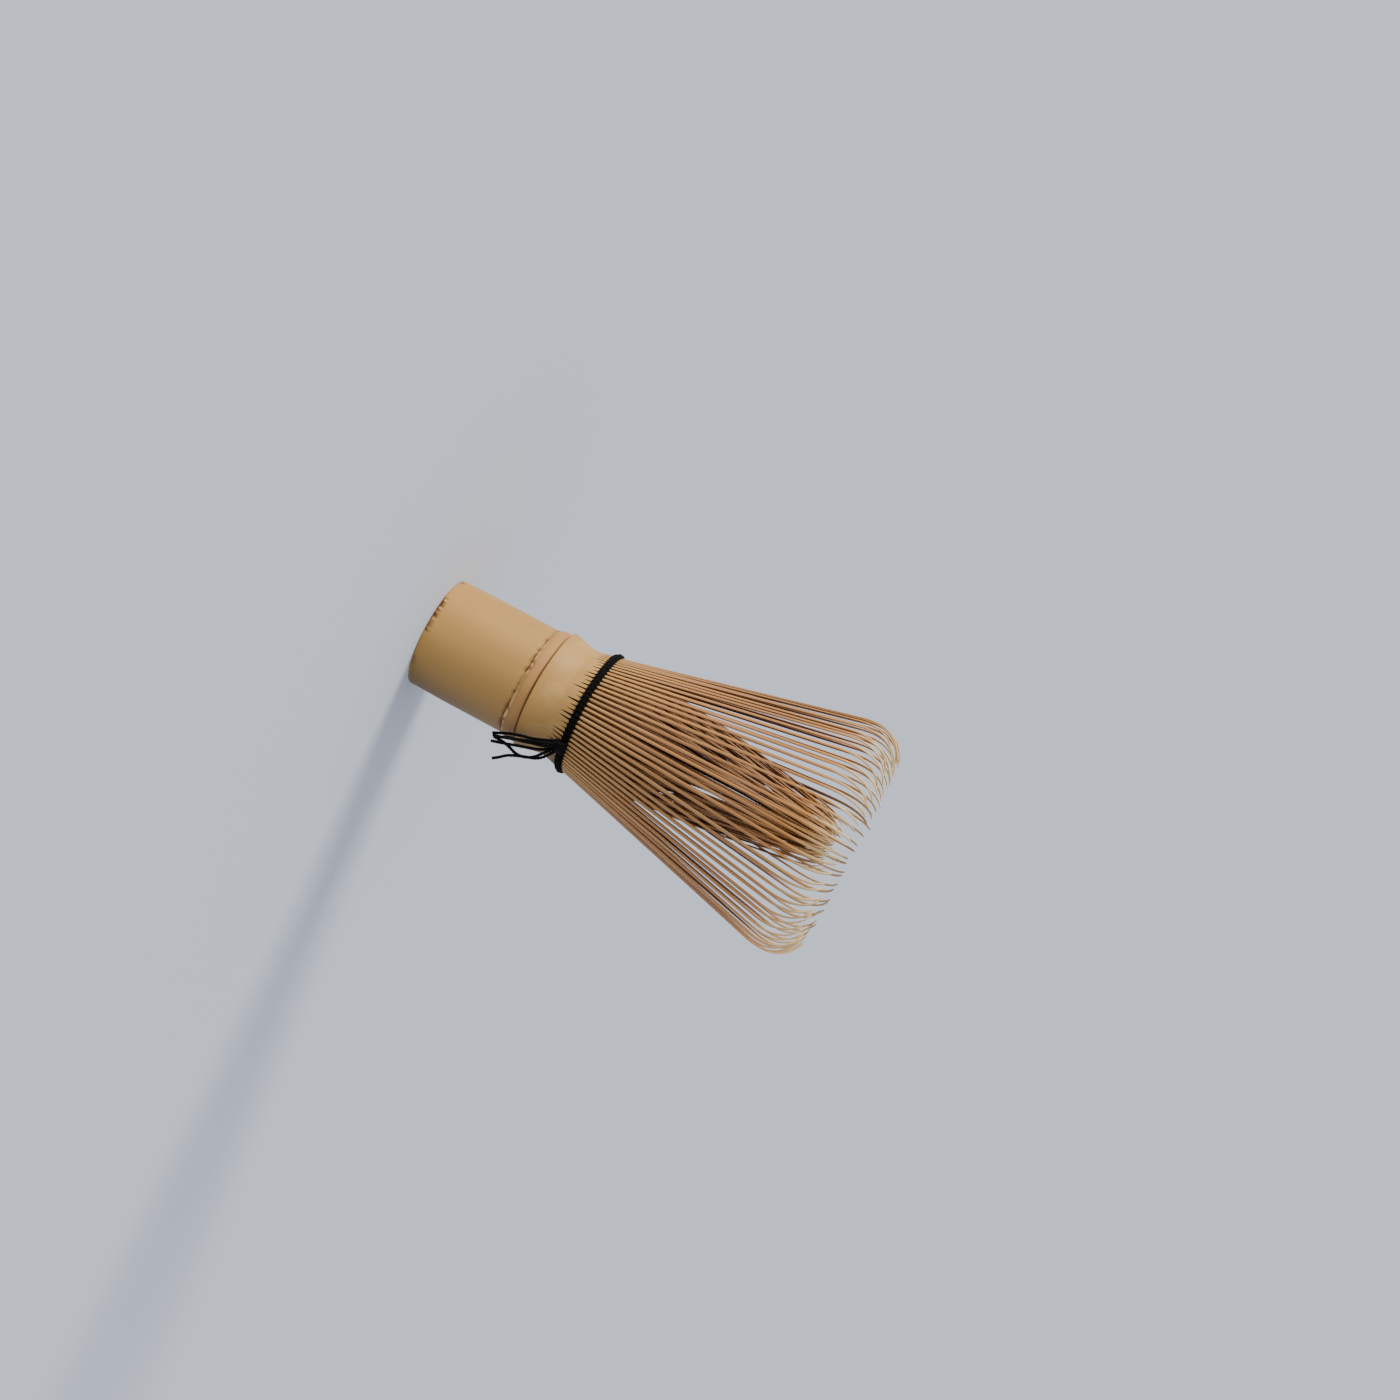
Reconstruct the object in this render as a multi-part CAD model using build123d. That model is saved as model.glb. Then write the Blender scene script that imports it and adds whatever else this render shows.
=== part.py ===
"""Bamboo tea whisk (chasen), in millimetres.

The whisk stands on the flat end of its handle: the origin is the centre of that end, and +Z runs
along the whisk to the tips of its tines. One length of bamboo makes the handle, the node and the
tines. Past the node the culm is split into staves, and each stave into outer tines, which flare
and curl over at the tip, and inner tines, which lean in to a core. A black thread binds the
outer tines where they start, and is tied off in a knot with six short ends.

Every tine is a solid of its own. The outer tines of one stave bend together, and so do the inner
tines of two staves, so each such set is one node, hinged on the thread side of its root.
"""

import os
from math import atan, atan2, cos, degrees, pi, radians, sin, tan

from build123d import *

# Overall sizes
GRIP_RADIUS = 13.45
GRIP_LENGTH = 25.1  # flat end to the middle of the groove under the node
WHISK_HEIGHT = 108.0  # flat end to the top of the outer tines' curl
BLOOM_RADIUS = 28.9  # the outer tines at their widest

# Hollow of the handle
BORE_RADIUS = 9.5
BORE_DEPTH = 22.4
SEPTUM_THICKNESS = 3.2
SEPTUM_DOME = 0.8
CAVITY_RADIUS = 9.9
END_ROUND = 0.5

# Node: a groove, a raised ring, and the thin scar line where the sheath grew
GROOVE_WIDTH = 1.1
GROOVE_DEPTH = 0.3
RING_WIDTH = 3.8  # middle of the groove to the scar line
RING_RISE = 0.5
RING_CROWN = 0.12
SCAR_WIDTH = 0.5
SCAR_DEPTH = 0.25
SHOULDER_RISE = 0.9

# Neck and the split collar that the thread binds
WAIST_ABOVE_SCAR = 6.6
WAIST_RADIUS = 13.4
COLLAR_LENGTH = 6.5  # waist to the top of the collar
COLLAR_SLOPE = 0.22  # radius gained per unit of height
COLLAR_WALL = 2.3
PARING_LENGTH = 3.4  # slope inside the neck where the flesh is pared away
SLIT_WIDTH = 0.28
SLIT_ABOVE_WAIST = 1.2

# Staves and tines
STAVES = 16
TINES_PER_STAVE = 5
STAVES_PER_INNER_SET = 2
ROOT_GAP = 0.12  # running room between the collar and the tines that bend above it

OUTER_WIDTH = (0.88, 0.46)  # root, tip
OUTER_THICKNESS = (0.55, 0.26)
OPEN_CURL_RADIUS = 14.0  # turns the flare upright
TIGHT_CURL_RADIUS = 7.7
TIGHT_CURL_TURN = 77.0

INNER_WIDTH = (0.55, 0.28)
INNER_THICKNESS = (0.50, 0.24)
INNER_STEP = 0.35  # the inner tines' skin behind the outer tines' belly at the root
INNER_HEIGHT = 103.0
INNER_LEAN = 3.7  # degrees inward at the root
INNER_LEAN_LENGTH = 20.0
INNER_BEND_RADIUS = 100.0
INNER_TIP_LEANS = (12.5, 16.5)  # degrees inward at the tip, for the outer and the inner layer

# Thread
THREAD_DIAMETER = 0.72
THREAD_SEAT = 0.01  # the thread lies this far off the bamboo
COURSES = 3
COURSE_GAP = 0.04
THREAD_BELOW_TOP = 1.6  # middle of the band of thread below the top of the collar
KNOT_ANGLE = -48.7
KNOT_HALF_SIZE = (1.3, 1.7, 1.9)  # radial, round the whisk, along it
KNOT_STAND_OFF = 0.6  # knot's centre outside the thread's outer face
KNOT_DROP = 1.2  # knot's centre below the middle of the band of thread
TAIL_DIAMETER = 0.7
# Each end of thread, from the knot's centre: out from the axis, round the whisk, along it
TAILS = (
    ((0.55, 0.90, -0.90), (0.75, 1.35, -5.0), (1.90, 1.55, -9.8), (3.40, 2.50, -14.4)),
    ((0.70, -0.05, -0.90), (1.35, 0.25, -4.6), (3.10, 0.70, -9.0), (4.10, 2.30, -14.0)),
    ((0.50, -1.00, -0.90), (1.00, -1.30, -5.0), (2.60, -0.90, -10.0), (4.60, 0.80, -14.1)),
    ((-0.30, 0.45, -1.20), (-0.15, 0.25, -5.0), (0.90, 0.30, -10.2), (2.60, 0.90, -14.2)),
    ((1.10, 0.55, -0.40), (2.70, 1.90, -3.4), (4.80, 3.30, -7.4), (7.40, 5.20, -11.6)),
    ((1.15, -0.50, -0.40), (3.00, 0.40, -3.2), (5.60, 1.70, -7.0), (7.90, 3.70, -11.3)),
)

# Heights that follow from the sizes above
SCAR_Z = GRIP_LENGTH + RING_WIDTH
WAIST_Z = SCAR_Z + WAIST_ABOVE_SCAR
COLLAR_TOP = WAIST_Z + COLLAR_LENGTH
ROOT_Z = COLLAR_TOP + ROOT_GAP
SEPTUM_TOP = BORE_DEPTH + SEPTUM_THICKNESS
TINE_COUNT = STAVES * TINES_PER_STAVE
PITCH = 360.0 / TINE_COUNT
BAND_Z = COLLAR_TOP - THREAD_BELOW_TOP


def collar_radius(z):
    """Outside of the collar at a height at or above the waist."""
    return WAIST_RADIUS + COLLAR_SLOPE * (z - WAIST_Z)


OUTER_ROOT_RADIUS = collar_radius(ROOT_Z)
INNER_ROOT_RADIUS = OUTER_ROOT_RADIUS - OUTER_THICKNESS[0] - INNER_STEP
COLLAR_INSIDE = collar_radius(COLLAR_TOP) - COLLAR_WALL


def handle_profile():
    """Half section of the culm: grip, groove, ring, scar, neck, collar, then back down inside."""
    ring = GRIP_RADIUS + RING_RISE
    shoulder = GRIP_RADIUS + SHOULDER_RISE
    groove_low, groove_high = GRIP_LENGTH - GROOVE_WIDTH / 2, GRIP_LENGTH + GROOVE_WIDTH / 2
    scar_low, scar_high = SCAR_Z - SCAR_WIDTH / 2, SCAR_Z + SCAR_WIDTH / 2
    pared = COLLAR_TOP - COLLAR_LENGTH / 2
    with BuildLine() as outline:
        Line((BORE_RADIUS, 0), (GRIP_RADIUS - END_ROUND, 0))
        JernArc((GRIP_RADIUS - END_ROUND, 0), (1, 0), END_ROUND, 90)
        Line((GRIP_RADIUS, END_ROUND), (GRIP_RADIUS, groove_low))
        ThreePointArc(
            (GRIP_RADIUS, groove_low),
            (GRIP_RADIUS - GROOVE_DEPTH, GRIP_LENGTH),
            (ring, groove_high),
        )
        ThreePointArc(
            (ring, groove_high),
            (ring + RING_CROWN, (groove_high + scar_low) / 2),
            (ring, scar_low),
        )
        ThreePointArc((ring, scar_low), (ring - SCAR_DEPTH, SCAR_Z), (shoulder, scar_high))
        Spline(
            (shoulder, scar_high),
            (WAIST_RADIUS, WAIST_Z),
            tangents=[(0, 1), (COLLAR_SLOPE, 1)],
        )
        Line((WAIST_RADIUS, WAIST_Z), (collar_radius(COLLAR_TOP), COLLAR_TOP))
        Polyline(
            (collar_radius(COLLAR_TOP), COLLAR_TOP),
            (COLLAR_INSIDE, COLLAR_TOP),
            (COLLAR_INSIDE, pared),
            (CAVITY_RADIUS, pared - PARING_LENGTH),
            (CAVITY_RADIUS, SEPTUM_TOP),
        )
        septum_arc(CAVITY_RADIUS, SEPTUM_TOP)
        Line((0, SEPTUM_TOP + SEPTUM_DOME), (0, BORE_DEPTH + SEPTUM_DOME))
        septum_arc(BORE_RADIUS, BORE_DEPTH)
        Line((BORE_RADIUS, BORE_DEPTH), (BORE_RADIUS, 0))
    return make_face(Plane.XZ * outline.line)


def septum_arc(radius, z):
    """Half of a shallow dome across the hollow, level on the axis."""
    dome = (radius**2 + SEPTUM_DOME**2) / (2 * SEPTUM_DOME)
    half = atan2(radius, dome - SEPTUM_DOME) / 2
    middle = (dome * sin(half), z + SEPTUM_DOME - dome * (1 - cos(half)))
    return ThreePointArc((radius, z), middle, (0, z + SEPTUM_DOME))


def make_handle():
    """The culm, revolved, with a slit between every two outer tines."""
    culm = revolve(handle_profile(), Axis.Z)
    low = WAIST_Z + SLIT_ABOVE_WAIST
    reach = COLLAR_WALL + 2
    slit = Pos((COLLAR_INSIDE - 1) + reach / 2, 0, (low + COLLAR_TOP + 1) / 2) * Box(
        reach, SLIT_WIDTH, COLLAR_TOP + 1 - low
    )
    return culm - [Rot(Z=k * PITCH) * slit for k in range(TINE_COUNT)]


def stations(start, lean, legs):
    """(radius, height, lean, length so far) at the ends and middle of each leg of a tine's skin.

    lean is in degrees out from the axis. A leg is (length, None) for a straight one, or
    (radius, turn) for an arc that turns inward by that many degrees, or outward if negative.
    """
    r, z = start
    done, found = 0.0, [(r, z, lean, 0.0)]
    for size, turn in legs:
        for _ in range(2):
            if turn is None:
                step = size / 2
                r, z = r + step * sin(radians(lean)), z + step * cos(radians(lean))
            else:
                ahead = lean - turn / 2
                side = size if turn > 0 else -size
                r += side * (cos(radians(ahead)) - cos(radians(lean)))
                z += side * (sin(radians(lean)) - sin(radians(ahead)))
                lean, step = ahead, size * radians(abs(turn)) / 2
            done += step
            found.append((r, z, lean, done))
    return found


def make_tine(start, lean, legs, thickness, width):
    """One tine in the XZ plane: skin outside, belly inside, tapering in both directions."""
    path = stations(start, lean, legs)
    whole = path[-1][3]
    skin = [(r, z) for r, z, _, _ in path]
    belly = []
    for r, z, at, done in path:
        deep = thickness[0] + (thickness[1] - thickness[0]) * done / whole
        belly.append((r - deep * cos(radians(at)), z + deep * sin(radians(at))))
    with BuildLine() as outline:
        for side in (skin, belly):
            for leg, (_, turn) in enumerate(legs):
                first, middle, last = side[2 * leg : 2 * leg + 3]
                if turn is None:
                    Line(first, last)
                else:
                    ThreePointArc(first, middle, last)
        Line(skin[0], belly[0])
        Line(skin[-1], belly[-1])
    blade = extrude(make_face(Plane.XZ * outline.line), width[0], both=True)
    low, high = min(skin[0][1], belly[0][1]), max(z for _, z in skin + belly)
    sides = Plane.YZ * Polygon(
        (-width[0] / 2, low),
        (width[0] / 2, low),
        (width[1] / 2, high),
        (-width[1] / 2, high),
        align=None,
    )
    return blade & extrude(sides, 2 * BLOOM_RADIUS)


def outer_tine():
    """Straight flare, then an open curl that ends upright, and a tight one that turns inward.

    The flare's lean is the one that brings the curl to the bloom's radius at the right height for
    the tip to end at the top of the whisk.
    """
    lean = 14.0
    for _ in range(30):
        rise = OPEN_CURL_RADIUS * sin(radians(lean))
        rise += TIGHT_CURL_RADIUS * sin(radians(TIGHT_CURL_TURN))
        high = WHISK_HEIGHT - ROOT_Z - rise
        out = BLOOM_RADIUS - OUTER_ROOT_RADIUS - OPEN_CURL_RADIUS * (1 - cos(radians(lean)))
        lean = degrees(atan(out / high))
    legs = (
        (high / cos(radians(lean)), None),
        (OPEN_CURL_RADIUS, lean),
        (TIGHT_CURL_RADIUS, TIGHT_CURL_TURN),
    )
    return make_tine((OUTER_ROOT_RADIUS, ROOT_Z), lean, legs, OUTER_THICKNESS, OUTER_WIDTH)


def inner_tine(tip_lean):
    """Leans in a little from the root, then bends to a steeper lean that it keeps to its tip."""
    rise = INNER_LEAN_LENGTH * cos(radians(INNER_LEAN))
    rise += INNER_BEND_RADIUS * (sin(radians(tip_lean)) - sin(radians(INNER_LEAN)))
    rest = (INNER_HEIGHT - ROOT_Z - rise) / cos(radians(tip_lean))
    legs = (
        (INNER_LEAN_LENGTH, None),
        (INNER_BEND_RADIUS, tip_lean - INNER_LEAN),
        (rest, None),
    )
    start = (INNER_ROOT_RADIUS, ROOT_Z)
    return make_tine(start, -INNER_LEAN, legs, INNER_THICKNESS, INNER_WIDTH)


def course_radius(z):
    """Radius of the middle of a course of thread that lies on the collar at this height."""
    return collar_radius(z) + (THREAD_DIAMETER / 2 + THREAD_SEAT) / cos(atan(COLLAR_SLOPE))


def make_course(z):
    """One turn of thread round the outer tines."""
    return Pos(0, 0, z) * Torus(course_radius(z), THREAD_DIAMETER / 2)


def knot_frame():
    """The knot's centre, with X out from the axis, Y round the whisk and Z along it."""
    out = course_radius(BAND_Z) + THREAD_DIAMETER / 2 + KNOT_STAND_OFF
    return Rot(Z=KNOT_ANGLE) * Pos(out, 0, BAND_Z - KNOT_DROP)


def make_knot(courses):
    """The knot's body, which lies against the courses of thread."""
    lump = knot_frame() * scale(Sphere(1), by=KNOT_HALF_SIZE)
    return lump - courses


def make_tail(points, knot):
    """One end of thread: straight runs joined by arcs, trimmed where it leaves the knot."""
    runs = [Vector(b) - Vector(a) for a, b in zip(points, points[1:])]
    radii = []
    for before, after in zip(runs, runs[1:]):
        shorter = min(before.length, after.length)
        radii.append(0.45 * shorter / tan(radians(before.get_angle(after)) / 2))
    print("tail radii", [round(r, 1) for r in radii])
    path = FilletPolyline(*points, radius=radii)
    section = Plane(path @ 0, z_dir=path % 0) * Circle(TAIL_DIAMETER / 2)
    tube = sweep(section, path)
    length = sum(edge.length for edge in path.edges())
    wanted = pi * TAIL_DIAMETER**2 / 4 * length
    print("tail length", round(length, 2), "volume over section", round(tube.volume / wanted, 4))
    return (knot_frame() * tube) - knot


def save(node, *solids):
    """Writes one node, whose solids stay separate."""
    export_step(solids[0] if len(solids) == 1 else Compound(list(solids)), f"parts/{node}.step")


def build():
    os.makedirs("parts", exist_ok=True)
    save("handle", make_handle())

    pitch = THREAD_DIAMETER + COURSE_GAP
    courses = [make_course(BAND_Z + (n - (COURSES - 1) / 2) * pitch) for n in range(COURSES)]
    for n, course in enumerate(courses, 1):
        save(f"binding_thread_{n}", course)
    knot = make_knot(courses)
    save("thread_knot", knot)
    for n, points in enumerate(TAILS, 1):
        save(f"thread_tail_{n}", make_tail(points, knot))

    outer = outer_tine()
    layers = [inner_tine(lean) for lean in INNER_TIP_LEANS]
    for stave in range(STAVES):
        ks = range(stave * TINES_PER_STAVE, (stave + 1) * TINES_PER_STAVE)
        save(f"outer_tines_{stave + 1:02d}", *[Rot(Z=(k + 0.5) * PITCH) * outer for k in ks])
    per_set = TINES_PER_STAVE * STAVES_PER_INNER_SET
    for n in range(STAVES // STAVES_PER_INNER_SET):
        ks = range(n * per_set, (n + 1) * per_set)
        tines = [Rot(Z=(k + 1) * PITCH) * layers[k % len(layers)] for k in ks]
        save(f"inner_tines_{n + 1}", *tines)


build()
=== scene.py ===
# %% [markdown]
# # A bamboo tea whisk
# A tea whisk is one length of bamboo. The maker keeps one end as the handle and splits the other
# end into staves, then into fine tines. This lesson loads the measured frame of the whisk and
# gives it its surface: the culm with its node, the curled tines and the black thread.

import math

import bpy
import numpy as np
from mathutils import Matrix, Vector


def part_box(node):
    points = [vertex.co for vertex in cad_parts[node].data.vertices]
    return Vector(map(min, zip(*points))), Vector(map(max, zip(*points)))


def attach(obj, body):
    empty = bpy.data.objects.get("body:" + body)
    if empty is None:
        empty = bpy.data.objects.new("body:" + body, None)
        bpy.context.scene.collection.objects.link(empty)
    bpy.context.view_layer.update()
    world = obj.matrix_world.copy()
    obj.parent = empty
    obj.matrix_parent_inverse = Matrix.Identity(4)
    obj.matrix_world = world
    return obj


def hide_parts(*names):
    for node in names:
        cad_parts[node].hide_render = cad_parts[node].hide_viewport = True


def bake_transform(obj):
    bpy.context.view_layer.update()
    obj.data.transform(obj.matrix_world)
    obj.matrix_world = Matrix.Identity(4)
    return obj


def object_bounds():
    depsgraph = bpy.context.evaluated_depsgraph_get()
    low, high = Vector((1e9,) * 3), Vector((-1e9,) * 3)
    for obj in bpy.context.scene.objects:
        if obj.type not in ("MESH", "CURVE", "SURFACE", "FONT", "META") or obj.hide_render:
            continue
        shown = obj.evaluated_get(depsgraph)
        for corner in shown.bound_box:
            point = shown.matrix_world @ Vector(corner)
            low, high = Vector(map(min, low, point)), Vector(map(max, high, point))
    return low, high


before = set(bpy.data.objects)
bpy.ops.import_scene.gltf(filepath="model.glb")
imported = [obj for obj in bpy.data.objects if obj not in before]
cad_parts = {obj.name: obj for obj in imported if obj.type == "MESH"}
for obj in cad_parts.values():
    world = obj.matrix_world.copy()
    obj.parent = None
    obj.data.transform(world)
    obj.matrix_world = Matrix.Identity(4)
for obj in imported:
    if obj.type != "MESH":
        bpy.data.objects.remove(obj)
cad_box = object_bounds()

# %% [markdown]
# ## Sizes
# Everything is in metres, because the frame is. The sizes that the frame can tell are read from
# it, so the surface always fits the bodies it covers. The rest are the maker's own choices.

# %% Sizes of the whisk
MM = 0.001
WHISK_BODY = "whisk_body"
handle_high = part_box("handle")[1]
COLLAR_TOP = handle_high[2]
SHOULDER_RADIUS = handle_high[0]
WHISK_TOP = cad_box[1][2]
BLOOM_RADIUS = cad_box[1][0]

outer_nodes = sorted(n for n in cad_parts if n.startswith("outer_tines_"))
inner_nodes = sorted(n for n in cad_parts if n.startswith("inner_tines_"))
TINES_PER_STAVE = 5
TINE_COUNT = len(outer_nodes) * TINES_PER_STAVE
PITCH = 2 * math.pi / TINE_COUNT
TINES_PER_INNER_SET = 16
INNER_COUNT = TINES_PER_INNER_SET * len(inner_nodes)
print("outer tines", TINE_COUNT, "in", len(outer_nodes), "staves; inner tines", INNER_COUNT)
print("whisk height", round(WHISK_TOP / MM, 2), "bloom radius", round(BLOOM_RADIUS / MM, 2))

# %% [markdown]
# ## From numbers to a mesh
# A surface here is a grid of points: rows run along the piece, and columns run round it. numpy
# works out all the points at once, and one helper turns them into a Blender mesh. The columns are
# joined into a ring, and each end is closed with one face.


# %% Quads of a tube
def ring_faces(rows, cols):
    """Quads of a tube: each joins two neighbours in a row to the same two in the next row."""
    row, col = np.meshgrid(np.arange(rows - 1), np.arange(cols), indexing="ij")
    ahead = (col + 1) % cols
    here, beyond = row * cols, (row + 1) * cols
    return np.stack([here + col, here + ahead, beyond + ahead, beyond + col]).reshape(4, -1).T


print("a tube of 3 rows and 4 columns has", len(ring_faces(3, 4)), "quads")


# %% Grid to mesh
def add_mesh(name, points, quads, caps=(), masks=None, uv=None, sharp=None):
    """Makes an object from an (n, 3) array of points, an (m, 4) array of quads and end caps.

    Blender keeps one long list of corners, and each face says where its own corners start in it.
    Masks are numbers kept on the points, for a material to read.
    """
    mesh = bpy.data.meshes.new(name)
    corners = np.concatenate([quads.ravel()] + [np.asarray(cap) for cap in caps]).astype(np.int32)
    sides = np.concatenate([np.full(len(quads), 4), [len(cap) for cap in caps]]).astype(np.int32)
    mesh.vertices.add(len(points))
    mesh.vertices.foreach_set("co", np.asarray(points, np.float32).ravel())
    mesh.loops.add(len(corners))
    mesh.loops.foreach_set("vertex_index", corners)
    mesh.polygons.add(len(sides))
    mesh.polygons.foreach_set("loop_start", (np.cumsum(sides) - sides).astype(np.int32))
    for key, values in (masks or {}).items():
        stored = mesh.attributes.new(key, "FLOAT", "POINT").data
        stored.foreach_set("value", values.astype(np.float32).ravel())
    if uv is not None:
        layer = mesh.uv_layers.new(name="grain")
        layer.data.foreach_set("uv", uv.reshape(-1, 2)[corners].astype(np.float32).ravel())
    mesh.update(calc_edges=True)
    mesh.validate()
    mesh.shade_smooth()
    if sharp:
        mesh.set_sharp_from_angle(angle=math.radians(sharp))
    piece = bpy.data.objects.new(name, mesh)
    bpy.context.scene.collection.objects.link(piece)
    return piece


# %% [markdown]
# ### Soft steps and wandering lines
# Bamboo has no straight edge and no even line. A few small formulas shape every groove and mark:
# a step with soft ends, a bell, and a line that wanders round the whisk and meets itself again.
# They could be drawn by hand as curves, but a formula works on the whole grid at once.


# %% Steps, bells and ripples
def smooth_step(x, low, high):
    """0 below low, 1 above high, and an even S between them."""
    t = np.clip((x - low) / (high - low), 0, 1)
    return t * t * (3 - 2 * t)


def bell(x, middle, spread):
    """1 at the middle, falling off evenly to both sides, to about a third at the spread."""
    return np.exp(-(((x - middle) / spread) ** 2))


def ripple(angle, seed, orders, power=1.0):
    """A wandering line round the whisk: a sum of sines whose height falls as they get finer."""
    rng = np.random.default_rng(seed)
    phases = rng.uniform(0, 2 * np.pi, len(orders))
    heights = 1.0 / np.asarray(orders, float) ** power
    waves = np.sin(angle[..., None] * np.asarray(orders) + phases) * heights
    return waves.sum(-1) / np.sqrt((heights**2).sum() / 2) / 1.5


def turned(angle, degrees):
    """How far round the whisk an angle is from a place given in degrees, either way, in radians."""
    return np.abs(np.angle(np.exp(1j * (angle - math.radians(degrees)))))


print("a bell one spread from its middle is", round(float(bell(1, 0, 1)), 2))

# %% [markdown]
# ## Materials by nodes
# A material is a small graph. One helper adds a node, sets its choices, and feeds each input with
# either a number or another node's output, so that a graph reads like a recipe.


# %% Add a node
def linear(red, green, blue):
    """A colour as a picture stores it, 0 to 255, turned into the light that a render works in."""
    c = np.array([red, green, blue]) / 255
    return (*np.where(c <= 0.04045, c / 12.92, ((c + 0.055) / 1.055) ** 2.4).tolist(), 1.0)


def grey(level):
    """A grey, for a ramp that is used as a mask."""
    return (level, level, level, 1)


def start_material(name):
    """A new material and the tree that its nodes go into."""
    material = bpy.data.materials.new(name)
    material.use_nodes = True
    material.node_tree.nodes.clear()
    return material, material.node_tree


def add(tree, kind, inputs=None, **choices):
    """One node. An input is a value or another node's output socket."""
    made = tree.nodes.new(kind)
    for key, choice in choices.items():
        setattr(made, key, choice)
    for key, value in (inputs or {}).items():
        if isinstance(value, bpy.types.NodeSocket):
            tree.links.new(value, made.inputs[key])
        else:
            made.inputs[key].default_value = value
    return made


print("middle grey is", round(linear(128, 128, 128)[0], 3), "of white in light")


# %% Short names for the nodes used here
def ramp(tree, factor, stops):
    """A colour ramp: stops are (place, colour)."""
    made = add(tree, "ShaderNodeValToRGB", {"Fac": factor})
    elements = made.color_ramp.elements
    while len(elements) < len(stops):
        elements.new(0.5)
    for element, (place, colour) in zip(elements, stops):
        element.position, element.color = place, colour
    return made.outputs["Color"]


def mix(tree, factor, first, second):
    """Two colours mixed; inputs 6 and 7 of this node are its colours."""
    made = add(tree, "ShaderNodeMix", {0: factor, 6: first, 7: second}, data_type="RGBA")
    return made.outputs[2]


def scale_range(tree, value, low, high):
    """A 0 to 1 value stretched to run from low to high."""
    made = add(tree, "ShaderNodeMapRange", {"Value": value, "To Min": low, "To Max": high})
    return made.outputs["Result"]


def math_node(tree, operation, *values):
    """Arithmetic on values."""
    return add(tree, "ShaderNodeMath", dict(enumerate(values)), operation=operation).outputs[0]


def clamp(tree, value):
    """A value kept between 0 and 1."""
    return add(tree, "ShaderNodeClamp", {"Value": value}).outputs[0]


def attribute(tree, name):
    """A mask: the number stored on each point of the mesh under this name."""
    return add(tree, "ShaderNodeAttribute", attribute_name=name).outputs["Fac"]


def noise(tree, where, stretch, scale, detail=4.0, roughness=0.55, distortion=0.0):
    """Noise whose grains are pulled out along one axis by the stretch."""
    moved = add(tree, "ShaderNodeMapping", {"Vector": where, "Scale": stretch}).outputs[0]
    made = add(tree, "ShaderNodeTexNoise", {"Vector": moved, "Scale": scale, "Detail": detail,
                                            "Roughness": roughness, "Distortion": distortion})
    return made.outputs[0]


def finish_material(tree, colour, rough, height, strength, depth, gloss):
    """The last nodes of every material: bump from a height, the shader and the output."""
    bump = add(tree, "ShaderNodeBump", {"Strength": strength, "Distance": depth, "Height": height})
    shader = add(tree, "ShaderNodeBsdfPrincipled", {"Base Color": colour, "Roughness": rough,
                                                    "Normal": bump.outputs[0],
                                                    "Specular IOR Level": gloss})
    add(tree, "ShaderNodeOutputMaterial", {"Surface": shader.outputs[0]})


# %% [markdown]
# ## The skin of the culm
# Bamboo skin is smooth and waxy, straw coloured, with soft blotches, fine fibres along its length
# and a few brown specks. One side is painted greyer and darker, as painted shade on the side away
# from the key light. The neck is pared, so it is paler and has soft facets. The sawn end shows the
# fibres end on, as dots in paler flesh.
# The colours could be painted on, but noise on Object coordinates runs right through the piece,
# as fibres do, and leaves no seam. Where a mark belongs to one place, the mesh carries a mask for
# it. There are eight: the scar, the pale flakes (partly painted highlight), the slits (painted
# shade), the ring, the pared neck, the painted shade of one side, the cut and the bore.

# %% Colours of the culm
SKIN_PALE = linear(184, 144, 78)
SKIN_STRAW = linear(174, 131, 68)
SKIN_DEEP = linear(158, 113, 60)
# painted shade: a greyer, darker brown for the culm's side away from the key light
SKIN_PAINTED_SHADE = linear(104, 84, 62)
INNER_WALL = linear(214, 184, 134)
RING_PINK = linear(176, 125, 72)
NECK_PARED = linear(180, 136, 73)
NECK_PALE = linear(192, 152, 92)
SCAR_BROWN = linear(80, 42, 18)
# painted shade inside the slits
SLIT_SHADE = linear(18, 10, 7)
# pale torn skin, partly a painted highlight on the flakes, slivers and rim flecks
FLAKE_AND_HIGHLIGHT = linear(222, 184, 120)
FLESH = linear(206, 176, 128)
FIBRE_END = linear(122, 84, 50)
print("straw skin as light", [round(v, 3) for v in SKIN_STRAW[:3]])


# %% Layers of the skin
def plain_skin(tree, where, streak):
    """Straw with blotches, then the neck, the ring, the fibres and painted shade on one side over it."""
    blotch = noise(tree, where, (1, 1, 0.35), 70, 2.0, 0.45, 0.3)
    fibre = noise(tree, where, (1, 1, 0.018), 4200, 3.0, 0.6)
    facet = noise(tree, where, (1, 1, 0.6), 230, 2.0, 0.5, 0.5)
    facet = ramp(tree, facet, [(0.44, grey(0)), (0.60, grey(0.55))])
    skin = ramp(tree, blotch, [(0.25, SKIN_DEEP), (0.5, SKIN_STRAW), (0.8, SKIN_PALE)])
    skin = mix(tree, 0.45, skin, SKIN_STRAW)
    skin = mix(tree, attribute(tree, "pared"), skin, mix(tree, facet, NECK_PARED, NECK_PALE))
    skin = mix(tree, math_node(tree, "MULTIPLY", attribute(tree, "ring"), 0.7), skin, RING_PINK)
    skin = mix(tree, scale_range(tree, streak, 0.0, 0.22), skin, SKIN_DEEP)
    skin = mix(tree, scale_range(tree, fibre, 0.0, 0.16), skin, SKIN_PALE)
    # the side away from the key light is mixed towards that greyer brown, as painted shade
    return mix(tree, attribute(tree, "painted_shade"), skin, SKIN_PAINTED_SHADE), blotch, fibre


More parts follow.
